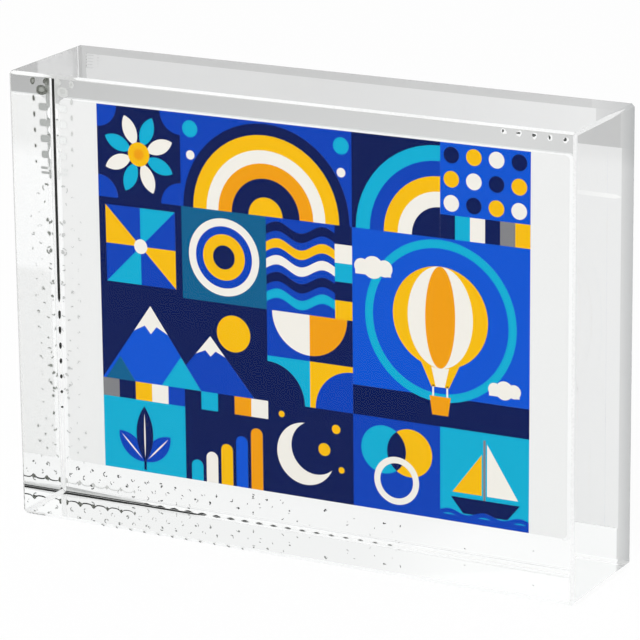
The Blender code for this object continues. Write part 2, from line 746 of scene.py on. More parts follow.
def painted_sheen_material(name, first, last, low, high, unseen=SLANT_STARTS, dense=SLANT_ENDS):
    """A pane of painted sheen and shade: unseen from straight ahead and dense at a steep slant.

    Its painted colour goes from first to last, where the world's X goes from low to high. unseen and
    dense are the slants between which it appears.
    """
    finish, tree, output = new_material(name)
    share = map_range(tree, split_place(tree)["X"], low, high)
    grain = place_group(tree, grain_group(), Scale=900.0, Strength=0.03)
    tree.links.new(mix_colour(tree, share, first, last), grain.inputs["Colour"])
    shader = matt_shader(tree, output, grain, grain.outputs["Colour"], 0.5, 0.6)
    lamp = ray_mask(tree, "Is Shadow Ray", "Is Diffuse Ray")
    cover = math_node(tree, "SUBTRACT", steepness(tree, unseen, dense), lamp, clamp=True)
    tree.links.new(cover, shader.inputs["Alpha"])
    return finish


class CRYSTAL_OT_painted_sheen(bpy.types.Operator):
    """Lay panes of painted sheen and shade over the clear margins round the sheet"""

    bl_idname = "crystal.haze"
    bl_label = "Film haze"

    def execute(self, context):
        # Painted sheen and shade that the margins show at a steep slant, and a painted bright streak
        pale, painted_deep_shade = screen(249, 249, 249), screen(184, 185, 186)
        faint, clear = screen(240, 240, 240), screen(248, 248, 247)
        painted_at_slant = tuple(context.scene.crystal_sheet.painted_at_slant)
        materials = (
            painted_sheen_material("film_painted_sheen_below", pale, pale, FILM_LOW.x, FILM_HIGH.x),
            painted_sheen_material("film_painted_sheen_above", screen(206, 206, 206), screen(198, 198, 198), 0.012, 0.030),
            painted_sheen_material("film_painted_sheen_right", screen(213, 213, 213), painted_deep_shade, SHEET_HIGH.x, FILM_HIGH.x),
            painted_sheen_material("film_painted_sheen_beside", painted_at_slant, painted_at_slant, FILM_LOW.x, FILM_HIGH.x),
            painted_sheen_material("film_painted_streak", faint, clear, 0.025, 0.044, 0.448, 0.468),
            painted_sheen_material("film_painted_sheen_corner", screen(207, 207, 207), painted_deep_shade, SHEET_HIGH.x, FILM_HIGH.x),
        )
        below, above, right, beside, streak, corner = range(len(materials))
        start = context.scene.crystal_edges.width
        end, top = WIDTH - start, HEIGHT - start
        # Beside the sheet's right side, a narrow strip has the sheet's painted colour at a slant
        past_sheet = SHEET_RIGHT + 0.0007
        shape = bmesh.new()
        for area, material_index in (
            ((start, start, SHEET_RIGHT, SHEET_BOTTOM), below),
            ((start, SHEET_BOTTOM, SHEET_LEFT, SHEET_TOP), above),
            ((start, SHEET_TOP, SHEET_RIGHT, top), above),
            ((SHEET_RIGHT, SHEET_BOTTOM, past_sheet, SHEET_TOP), beside),
            ((SHEET_RIGHT, start, past_sheet, SHEET_BOTTOM), right),
            ((SHEET_RIGHT, SHEET_TOP, end, top), corner),
            ((past_sheet, start, end, SHEET_TOP), right),
        ):
            add_slab(shape, rectangle(*area), on_back_face, SHEEN_PANE_DEPTH, SHEEN_PANE_THICKNESS, material_index)

        # A painted bright streak, slightly turned and leaning into the block
        streak_start, streak_end = 0.0690, 0.0970
        climb, lean = 0.022, math.tan(math.radians(5.0))

        def on_turned_strip(u, v, depth):
            along = u - streak_start
            return on_back_face(u, v + climb * along, depth + lean * along)

        outline = lens(streak_start, streak_end, 0.0596, 0.0603, 0.0060, 0.0050)
        add_slab(shape, outline, on_turned_strip, SHEEN_PANE_DEPTH + 2 * SHEEN_PANE_THICKNESS, SHEEN_PANE_THICKNESS, streak)
        finish_piece("film_painted_sheen", shape, materials)
        return {"FINISHED"}


# Sheet and picture


def bonded_material(name, colour, roughness, grain_scale, grain_strength, sheen=None, paints_dimming=True, upper=0.55,
                    painted_bright_band=None):
    """A matt surface bonded to the clear block, so that it has no gloss of its own.

    sheen is the painted sheen that it takes where it is seen at a steep slant, and upper is how light that
    painted sheen is in the polished sides above the block's foot. Where paints_dimming is true, painted shade
    darkens it where the view has crossed the block more than once. painted_bright_band is the colour of a
    painted bright band that the polished sides show half way up.
    """
    # Heights over which the painted bright band starts and ends, and over which the painted sheen changes
    #     above the foot
    band_starts, band_ends, foot_ends = (0.0375, 0.0390), (0.0570, 0.0610), (0.015, 0.030)
    finish, tree, output = new_material(name)
    grain = place_group(
        tree, grain_group(), Colour=(*colour, 1.0), Scale=grain_scale, Strength=grain_strength
    )
    shown = grain.outputs["Colour"]
    # Painted shade: darker where the view has crossed the block more than once
    if paints_dimming:
        shown = mix_colour(tree, ray_turns(tree, 2.0, 3.0, 0.30), shown, BLACK)
    if sheen:
        height = split_place(tree)["Z"]
        mirrored = ray_turns(tree, 1.0, 2.0)
        # A painted bright band half way up the polished sides
        if painted_bright_band:
            above = map_range(tree, height, *band_starts, smooth=True)
            below = map_range(tree, height, *band_ends, 1.0, 0.0, smooth=True)
            band = math_node(tree, "MULTIPLY", math_node(tree, "MULTIPLY", above, below), mirrored)
            shown = mix_colour(tree, band, shown, painted_bright_band)
        # Painted sheen at a steep slant, paler in the polished sides near the foot
        lightness = map_range(tree, height, *foot_ends, 0.94, upper)
        mirror_sheen = mix_colour(tree, lightness, BLACK, WHITE)
        glare = mix_colour(tree, mirrored, sheen, mirror_sheen)
        shown = mix_colour(tree, steepness(tree), shown, glare)
    matt_shader(tree, output, grain, shown, roughness - 0.05, roughness + 0.05)
    return finish


class CRYSTAL_OT_sheet(bpy.types.Operator):
    """Bond the off-white sheet to the back face"""

    bl_idname = "crystal.sheet"
    bl_label = "White sheet"

    def execute(self, context):
        finish = context.scene.crystal_sheet
        # Painted light: sheen at a slant and a bright band on the paper, and painted highlights on its edges
        paper = bonded_material("off_white_sheet", finish.paper, 0.6, 1800.0, 0.03, tuple(finish.painted_at_slant),
                                upper=0.77, painted_bright_band=(0.955, 0.955, 0.955))
        cut = bonded_material("sheet_cut_edge_painted_highlight", (0.96, 0.96, 0.96), 0.6, 1800.0, 0.02, paints_dimming=False)
        outline = rounded_rectangle(SHEET_LEFT, SHEET_BOTTOM, SHEET_RIGHT, SHEET_TOP, finish.corner_radius)
        shape = bmesh.new()
        thickness = BOND_DEPTH + SHEET_HIGH.y - BACK_FACE
        add_slab(shape, outline, on_back_face, BOND_DEPTH, thickness, 0, 0, 1)

        # Painted highlights: a pale rim beside the top and the right side, and a pale strip beside the left
        # side
        gap, thin, wide, narrow = 0.00002, 0.00026, 0.00095, 0.0001
        radius = finish.corner_radius
        turns = ((SHEET_TOP - radius, 90, thin, wide), (SHEET_BOTTOM + radius, 0, wide, narrow))
        inner, outer = [(SHEET_LEFT + radius, SHEET_TOP + gap)], [(SHEET_LEFT + radius, SHEET_TOP + thin)]
        for v, first, near, far in turns:
            for step in range(7):
                angle = math.radians(first - 15 * step)
                for path, reach in ((inner, gap), (outer, near + (far - near) * step / 6)):
                    across, up = math.cos(angle) * (radius + reach), math.sin(angle) * (radius + reach)
                    path.append((SHEET_RIGHT - radius + across, v + up))
        strip_left, strip_top = 0.0006, 0.0553
        strip = rectangle(strip_left, SHEET_BOTTOM, SHEET_LEFT - gap, strip_top)
        for pale in (inner + outer[::-1], strip):
            add_slab(shape, pale, on_back_face, BOND_DEPTH, BOND_DEPTH / 2, 1)
        finish_piece("backing_sheet_bonded", shape, (paper, cut), ("backing_sheet",))
        return {"FINISHED"}


class Picture:
    """Lays flat ink shapes on the print, with the print's lower left corner as origin."""

    def __init__(self):
        self.shape = bmesh.new()
        self.left = PRINT_LOW.x - BLOCK_LOW.x + PRINT_INSET
        self.bottom = PRINT_LOW.z - BLOCK_LOW.z + PRINT_INSET

    def lay(self, points, ink, coat, thickness=INK_COAT):
        """Adds one shape: coat 0 lies on the base, and each higher coat lies nearer the viewer."""
        outline = [(self.left + u, self.bottom + v) for u, v in points]
        depth = BOND_DEPTH + (coat + 2) * INK_COAT
        add_slab(self.shape, outline, on_back_face, depth, thickness, INKS.index(ink))

    def lay_base(self, ink):
        """The print itself, down to its rear face."""
        thickness = BOND_DEPTH + INK_COAT + PRINT_HIGH.y - BACK_FACE
        self.lay(rectangle(0, 0, PRINT_WIDTH, PRINT_HEIGHT), ink, -1, thickness)


class Tile:
    """One rectangle of the picture. Places in it go from 0 to 1 across and up.

    A length such as a radius is a share of the tile's height, so that circles stay round.
    """

    def __init__(self, picture, left, bottom, width, height, ground):
        self.picture = picture
        self.left, self.bottom, self.width, self.height = left, bottom, width, height
        self.squash = height / width
        self.box(0, 0, 1, 1, ground, 0)

    def lay(self, points, ink, coat=1):
        placed = [(self.left + u * self.width, self.bottom + v * self.height) for u, v in points]
        self.picture.lay(placed, ink, coat)

    def box(self, left, bottom, right, top, ink, coat=1):
        self.lay(rectangle(left, bottom, right, top), ink, coat)

    def disc(self, u, v, radius, ink, coat=1, start=0, end=360):
        """A disc, or a slice of one. radius is one share, or one across and one up."""
        wide, high = radius if isinstance(radius, tuple) else (radius, radius)
        rim = arc((u, v), (wide * self.squash, high), start, end, arc_steps(start, end))
        rim = rim[:-1] if end - start >= 360 else rim
        if 0 < end - start < 180:
            rim = rim + [(u, v)]
        self.lay(rim, ink, coat)

    def discs(self, u, v, rows, start=0, end=360):
        """Discs or slices round one middle. Each row, a radius and an ink, covers the rows before it."""
        for coat, (radius, ink) in enumerate(rows, 1):
            self.disc(u, v, radius, ink, coat, start, end)

    def ring(self, u, v, outer, inner, ink, coat=1, start=0, end=360):
        """Part of a ring, laid in stretches of at most half a turn."""
        stretches = max(1, math.ceil((end - start) / 180))
        for stretch in range(stretches):
            first = start + (end - start) * stretch / stretches
            last = start + (end - start) * (stretch + 1) / stretches
            steps = arc_steps(first, last)
            rim = arc((u, v), (outer * self.squash, outer), first, last, steps)
            rim += arc((u, v), (inner * self.squash, inner), last, first, steps)
            self.lay(rim, ink, coat)

    def petal(self, u, v, length, width, angle, ink, coat=1, from_centre=0.0):
        """A pointed oval that starts from_centre away from (u, v) and lies along angle."""
        half, bulge = length / 2, width / 2
        radius = (half * half + bulge * bulge) / (2 * bulge)
        spread = math.degrees(math.asin(half / radius))
        upper = arc((half, bulge - radius), radius, 90 + spread, 90 - spread, 10)
        lower = arc((half, radius - bulge), radius, 270 + spread, 270 - spread, 10)
        cosine, sine = math.cos(math.radians(angle)), math.sin(math.radians(angle))
        rim = []
        for x, y in upper + lower[1:-1]:
            x += from_centre
            rim.append((u + (x * cosine - y * sine) * self.squash, v + x * sine + y * cosine))
        self.lay(rim, ink, coat)

    def wave(self, middle, depth, swing, turns, ink, coat=1, shift=0.0):
        """A band across the tile whose two borders follow a sine wave."""
        steps = 40
        upper, lower = [], []
        for step in range(steps + 1):
            u = step / steps
            rise = middle + swing * math.sin(2 * math.pi * (turns * u + shift))
            upper.append((u, rise + depth / 2))
            lower.append((u, rise - depth / 2))
        self.lay(lower + upper[::-1], ink, coat)


def draw_flower(tile):
    """Eight petals round a disc, with a quarter disc in each corner."""
    for corner, start in (((0, 0), 0), ((1, 0), 90), ((1, 1), 180), ((0, 1), 270)):
        tile.disc(*corner, 0.24, "royal", 1, start, start + 90)
    for petal in range(8):
        ink = "cyan" if petal % 2 else "cream"
        tile.petal(0.5, 0.5, 0.34, 0.16, 45 * petal + 22.5, ink, 2, 0.10)
    tile.disc(0.5, 0.5, 0.13, "yellow", 3)
    tile.disc(0.5, 0.5, 0.06, "orange", 4)


def draw_rising_sun(tile):
    """Half rings that stand on the tile's lower border, between two pairs of discs."""
    rows = (
        (0.98, "navy"), (0.86, "yellow"), (0.70, "cream"), (0.56, "orange"), (0.40, "navy"), (0.20, "yellow")
    )
    tile.discs(0.5, 0.0, rows, 0, 180)
    for side in (0.06, 0.94):
        tile.disc(side, 0.84, 0.09, "cyan", 1)
        tile.disc(side, 0.56, 0.05, "cream", 1)


def draw_bow(tile):
    """Quarter rings that spread from one corner."""
    rows = ((0.96, "cyan"), (0.80, "royal"), (0.64, "yellow"), (0.48, "cream"), (0.32, "navy"))
    tile.discs(1.0, 0.0, rows, 90, 180)


def draw_discs(tile, inks, across, up, radius):
    """Rows of discs whose inks take turns."""
    for row in range(up):
        for column in range(across):
            ink = inks[(row * 2 + column) % len(inks)]
            tile.disc((column + 0.5) / across, (row + 0.5) / up, radius, ink)


def draw_pinwheel(tile):
    """Four two-coloured blades round a disc."""
    for quarter in range(4):
        cosine, sine = ((1, 0), (0, 1), (-1, 0), (0, -1))[quarter]

        def turned(points):
            return [(0.5 + x * cosine - y * sine, 0.5 + x * sine + y * cosine) for x, y in points]

        tile.lay(turned([(0, 0), (0.42, 0.42), (0, 0.42)]), "yellow" if quarter % 2 else "cyan")
        tile.lay(turned([(0, 0), (0.42, 0), (0.42, 0.42)]), "royal")
    tile.disc(0.5, 0.5, 0.08, "cream", 2)


def draw_rings(tile):
    """Rings round one middle."""
    tile.discs(0.5, 0.5, ((0.42, "cream"), (0.335, "royal"), (0.25, "yellow"), (0.13, "navy")))


def draw_waves(tile):
    """Five wavy bands."""
    for place, ink in enumerate(("cyan", "navy", "cream", "yellow", "navy")):
        tile.wave(0.14 + 0.18 * place, 0.10, 0.05, 1.5, ink)


def draw_balloon(tile):
    """A balloon of five upright stripes, with its basket, in front of a pale ring."""
    tile.box(0, 0, 1, 0.16, "navy", 1)
    tile.ring(0.5, 0.56, 0.43, 0.385, "cyan", 2)
    tile.lay([(0.36, 0.40), (0.64, 0.40), (0.55, 0.21), (0.45, 0.21)], "yellow", 3)
    tile.lay([(0.43, 0.40), (0.57, 0.40), (0.525, 0.21), (0.475, 0.21)], "cream", 4)
    tile.disc(0.5, 0.58, 0.27, "yellow", 5)
    tile.disc(0.5, 0.58, (0.185, 0.27), "cream", 6)
    tile.disc(0.5, 0.58, (0.085, 0.27), "orange", 7)
    for side in (0.455, 0.535):
        tile.box(side, 0.15, side + 0.01, 0.22, "cream", 3)
    tile.lay([(0.44, 0.16), (0.56, 0.16), (0.545, 0.06), (0.455, 0.06)], "orange", 4)
    for u, v, size in ((0.12, 0.80, 0.06), (0.86, 0.24, 0.05)):
        for coat, (step, share) in enumerate(((-1.1, 0.7), (0, 1.0), (1.1, 0.75)), 3):
            tile.disc(u + step * size, v, size * share, "cream", coat)
        tile.box(u - 1.7 * size, v - 0.7 * size, u + 1.7 * size, v - 0.1 * size, "cream", 6)


def draw_mountains(tile):
    """Peaks with pale caps under a disc."""
    tile.disc(0.80, 0.68, 0.20, "yellow", 1)
    cap = 0.34
    for coat, middle, foot, peak, ink in ((2, 0.30, 0.30, 0.86, "bright"), (4, 0.66, 0.26, 0.62, "royal")):
        tile.lay([(middle - foot, 0), (middle + foot, 0), (middle, peak)], ink, coat)
        steps = ((-1, 0), (-0.35, 0.08), (0, -0.02), (0.35, 0.08), (1, 0), (0, cap))
        snow = [(middle + foot * cap * across, peak * (1 - cap + up)) for across, up in steps]
        tile.lay(snow, "cream", coat + 1)
    tile.lay([(0.36, 0), (0.60, 0), (0.48, 0.34)], "cyan", 6)
    tile.lay([(0.02, 0), (0.20, 0), (0.11, 0.26)], "teal", 6)


def draw_fans(tile):
    """Four squares, each with a quarter disc that opens another way."""
    squares = (
        (0.0, 0.0, "cyan", "navy", 0, 0, 0),
        (0.5, 0.0, "yellow", "royal", 1, 0, 90),
        (0.0, 0.5, "royal", "cream", 1, 1, 180),
        (0.5, 0.5, "navy", "orange", 0, 1, 270),
    )
    for left, bottom, ground, ink, corner_u, corner_v, start in squares:
        tile.box(left, bottom, left + 0.5, bottom + 0.5, ground, 1)
        tile.disc(left + corner_u * 0.5, bottom + corner_v * 0.5, 0.44, ink, 2, start, start + 90)


def draw_leaves(tile):
    """Three leaves with pale ribs on one stem."""
    for coat, angle, length, ink in ((1, 45, 0.56, "royal"), (3, 135, 0.56, "royal"), (5, 90, 0.78, "navy")):
        tile.petal(0.5, 0.14, length, 0.26, angle, ink, coat)
        tile.petal(0.5, 0.14, length * 0.8, 0.022, angle, "cream", coat + 1, 0.06)
    tile.box(0.485, 0.03, 0.515, 0.16, "navy", 7)


def draw_crescent(tile):
    """A crescent with a few small discs."""
    tile.disc(0.44, 0.48, 0.34, "cream", 1)
    tile.disc(0.56, 0.56, 0.29, "navy", 2)
    for u, v, radius in ((0.80, 0.80, 0.05), (0.66, 0.56, 0.07), (0.86, 0.36, 0.035), (0.16, 0.88, 0.035)):
        tile.disc(u, v, radius, "yellow", 3)


def draw_overlaps(tile):
    """Three discs that overlap."""
    radius, reach = 0.26, 0.15
    half = math.sqrt(radius ** 2 - reach ** 2)
    for coat, (u, ink) in enumerate(((0.5 - reach, "cyan"), (0.5 + reach, "yellow")), 1):
        tile.disc(u, 0.66, radius, ink, coat)
    tile.petal(0.5, 0.66, 2 * half, 2 * (radius - reach), 90, "navy", 3, -half)
    tile.ring(0.5, 0.34, radius, radius - 0.07, "cream", 4)


def draw_bars(tile):
    """Round-topped bars that climb to the right."""
    for place, ink in enumerate(("cyan", "cream", "yellow", "bright", "orange")):
        left = 0.07 + 0.18 * place
        top = 0.20 + 0.14 * place
        tile.box(left, 0, left + 0.14, top, ink, 1)
        tile.disc(left + 0.07, top, 0.07 / tile.squash, ink, 1, 0, 180)


def draw_boat(tile):
    """A boat with two sails on a wavy sea."""
    tile.box(0.487, 0.24, 0.513, 0.92, "grey", 1)
    tile.lay([(0.53, 0.32), (0.88, 0.32), (0.53, 0.88)], "cream", 1)
    tile.lay([(0.14, 0.32), (0.47, 0.32), (0.47, 0.76)], "yellow", 1)
    tile.lay([(0.12, 0.27), (0.90, 0.27), (0.76, 0.10), (0.26, 0.10)], "navy", 2)
    tile.box(0, 0, 1, 0.07, "royal", 3)
    tile.wave(0.085, 0.05, 0.025, 2.5, "royal", 4)


def draw_strip(tile, inks, upright=False):
    """Small squares in a row."""
    count = len(inks)
    for place, ink in enumerate(inks):
        low, high = place / count, (place + 1) / count
        if upright:
            tile.box(0, low, 1, high, ink)
        else:
            tile.box(low, 0, high, 1, ink)


def draw_picture(picture):
    """Five columns and four rows of simple shapes, a few of them joined or split."""
    columns_in_all, rows_in_all = 5, 4
    across, up = PRINT_WIDTH / columns_in_all, PRINT_HEIGHT / rows_in_all

    def tile(column, row, columns, rows, ground):
        return Tile(picture, column * across, row * up, columns * across, rows * up, ground)

    draw_flower(tile(0, 3, 1, 1, "navy"))
    draw_rising_sun(tile(1, 3, 2, 1, "royal"))
    draw_bow(tile(3, 3, 1, 1, "navy"))
    draw_discs(tile(4, 3.25, 1, 0.75, "bright"), ("cream", "navy", "yellow"), 4, 3, 0.115)
    draw_strip(tile(4, 3, 1, 0.25, "navy"), ("navy", "cyan", "cream", "navy", "grey", "yellow"))
    draw_pinwheel(tile(0, 2, 1, 1, "navy"))
    draw_rings(tile(1, 2, 1, 1, "teal"))
    draw_waves(tile(2, 2, 0.8, 1, "royal"))
    draw_strip(tile(2.8, 2, 0.2, 1, "navy"), ("yellow", "navy", "cyan", "cream", "navy"), upright=True)
    draw_balloon(tile(3, 1, 2, 2, "bright"))
    draw_mountains(tile(0, 1, 2, 1, "navy"))
    draw_fans(tile(2, 1, 1, 1, "navy"))
    draw_leaves(tile(0, 0, 1, 0.8, "cyan"))
    draw_strip(
        tile(0, 0.8, 2, 0.2, "navy"),
        ("grey", "navy", "yellow", "cream", "royal", "navy", "cyan", "navy", "orange", "cream"),
    )
    draw_bars(tile(1, 0, 1, 0.8, "navy"))
    draw_crescent(tile(2, 0, 1, 1, "navy"))
    draw_overlaps(tile(3, 0, 1, 1, "royal"))
    draw_boat(tile(4, 0, 1, 1, "cyan"))


class CRYSTAL_OT_picture(bpy.types.Operator):
    """Print the picture on the sheet"""

    bl_idname = "crystal.picture"
    bl_label = "Picture"

    def execute(self, context):
        inks = context.scene.crystal_inks
        # The inks take the sheet's painted sheen where they are seen at a steep slant
        sheen = tuple(context.scene.crystal_sheet.painted_at_slant)
        materials = [
            bonded_material(f"ink_{name}", getattr(inks, name), 0.5, 2600.0, 0.03, sheen) for name in INKS
        ]
        picture = Picture()
        picture.lay_base("navy")
        draw_picture(picture)
        finish_piece("printed_picture", picture.shape, materials, ("photo_print",))
        return {"FINISHED"}


# Trapped air and edges


def trapped_material(name, straight, mirrored=None, steep=None, steep_mirrored=None, strength=0.5):
    """A flat dark or pale outline inside the block.

    straight is its colour seen directly, and mirrored is its colour in the block's polished sides.
    steep and steep_mirrored are the same where it is seen at a steep slant, and steep alone serves for
    both. Where these colours differ, the difference is painted light and shade.
    """
    mirrored = mirrored or straight
    finish, tree, output = new_material(name)
    painted_at_slant = steepness(tree)
    direct = mix_colour(tree, painted_at_slant, straight, steep or straight)
    reflected = mix_colour(tree, painted_at_slant, mirrored, steep_mirrored or steep or mirrored)
    grain = place_group(tree, grain_group(), Scale=4000.0, Strength=strength)
    shown = mix_colour(tree, ray_turns(tree, 1.0, 2.0), direct, reflected)
    tree.links.new(shown, grain.inputs["Colour"])
    matt_shader(tree, output, grain, grain.outputs["Colour"], 0.4, 0.7)
    return finish


def uneven_blob(draw, centre, radius, swing=0.3, points=18):
    """A small uneven round outline. radius is one number, or one across and one up."""
    wide, high = radius if isinstance(radius, tuple) else (radius, radius)
    turns = [(waves, draw.uniform(0, 2 * math.pi)) for waves in (2, 3, 5)]
    outline = []
    for step in range(points):
        angle = 2 * math.pi * step / points
        reach = 1 + swing * sum(math.cos(waves * angle + turn) / waves for waves, turn in turns)
        across, up = wide * reach * math.cos(angle), high * reach * math.sin(angle)
        outline.append((centre[0] + across, centre[1] + up))
    return outline


def ring_bit(draw, centre, radius, thickness, start, end):
    """A short uneven stretch of a ring."""
    steps = max(3, int((end - start) / 18))
    outer = arc(centre, radius + thickness / 2, start, end, steps)
    inner = arc(centre, radius - thickness / 2, end, start, steps)
    wobble = thickness * 0.3
    shaky = []
    for u, v in outer + inner:
        shaky.append((u + wobble * (draw.random() - 0.5), v + wobble * (draw.random() - 0.5)))
    return shaky


def add_pocket(shape, draw, centre, radius, strength, material_index):
    """One trapped pocket: parts of its rim, and now and then a dark core."""
    rims = 1 + (draw.random() < 0.7 * strength) + (draw.random() < 0.35 * strength)
    for _ in range(rims):
        start = draw.uniform(0, 360)
        span = draw.uniform(30, 110) * (0.5 + 0.5 * strength)
        thickness = radius * draw.uniform(0.20, 0.50) * (0.55 + 0.45 * strength)
        outline = ring_bit(draw, centre, radius * draw.uniform(0.7, 1.1), thickness, start, start + span)
        lay_air(shape, outline, material_index)
    if draw.random() < 0.5 * strength:
        core = (centre[0] + radius * draw.uniform(-0.5, 0.5), centre[1] + radius * draw.uniform(-0.5, 0.5))
        outline = uneven_blob(draw, core, radius * draw.uniform(0.35, 0.6))
        lay_air(shape, outline, material_index, 1)


def pocket_places(pattern):
    """Every place of the film's pockets on the back face: two square grids, one half a step off."""
    cosine, sine = math.cos(pattern.turn), math.sin(pattern.turn)
    places = []
    for half in (0.0, 0.5):
        for row in range(-4, 30):
            for column in range(-6, 38):
                right, up = (column + half) * pattern.pitch, (row + half) * pattern.pitch
                across = pattern.first_across + right * cosine - up * sine
                places.append((across, pattern.first_up + right * sine + up * cosine))
    return places


class CRYSTAL_OT_pockets(bpy.types.Operator):
    """Scatter the air pockets that the film has trapped along the clear margins"""

    bl_idname = "crystal.pockets"
    bl_label = "Air pockets"

    def execute(self, context):
        pattern = context.scene.crystal_pockets
        draw = random.Random(pattern.seed)
        # Room left free of pockets at the block's left side and bottom, its right side and its top
        room_near, room_right, room_top = 0.0008, 0.0015, 0.0035
        # At a steep slant the pockets take a painted sheen, and the rim is a painted highlight
        hazy = screen(236, 236, 236)
        materials = (
            trapped_material("trapped_air_low", screen(95, 97, 96), screen(150, 152, 150), hazy),
            trapped_material("trapped_air_side", screen(205, 206, 205), screen(140, 143, 138), hazy),
            trapped_material("trapped_air_painted_highlight", screen(252, 252, 252), steep=screen(204, 204, 204)),
        )
        low, side, rim = range(len(materials))
        shape = bmesh.new()
        for across, up in pocket_places(pattern):
            if not (room_near < across < WIDTH - room_right and room_near < up < HEIGHT - room_top):
                continue
            if up < SHEET_BOTTOM - 0.0012:
                strength = max(0.0, 1 - across / pattern.fade)
                if draw.random() < 0.25 + strength:
                    add_pocket(shape, draw, (across, up), pattern.radius, strength, low)
            elif across < SHEET_LEFT + 0.0033 and up < 0.0535:
                strength = 0.45 + 0.35 * draw.random()
                radius = pattern.radius * 0.8
                if across < 0.0026:
                    radius = pattern.radius * (1.8 if up > 0.0405 else 1.3)
                    across = max(across - 0.0004, 0.0006 + radius)
                add_pocket(shape, draw, (across, up), radius, strength, side)
        # The row at the top right: a painted highlight as a pale rim round each dark pocket, which is so wide
        #         and so high
        shares = ((0.5, 0.6), (0.95, 0.4), (0.75, 0.75), (0.45, 0.85), (0.75, 0.7))
        for step, (wide, high) in enumerate(shares):
            centre = (0.0814 + step * 0.00263, 0.0705 - step * 0.00008)
            halo = (centre[0] + 0.0001, centre[1] - 0.00008)
            lay_air(shape, uneven_blob(draw, halo, pattern.radius * 1.2, 0.30), rim, -1)
            core = uneven_blob(draw, centre, (pattern.radius * wide, pattern.radius * high), 0.35)
            lay_air(shape, core, low)
        finish_piece("air_pockets", shape, materials)
        return {"FINISHED"}


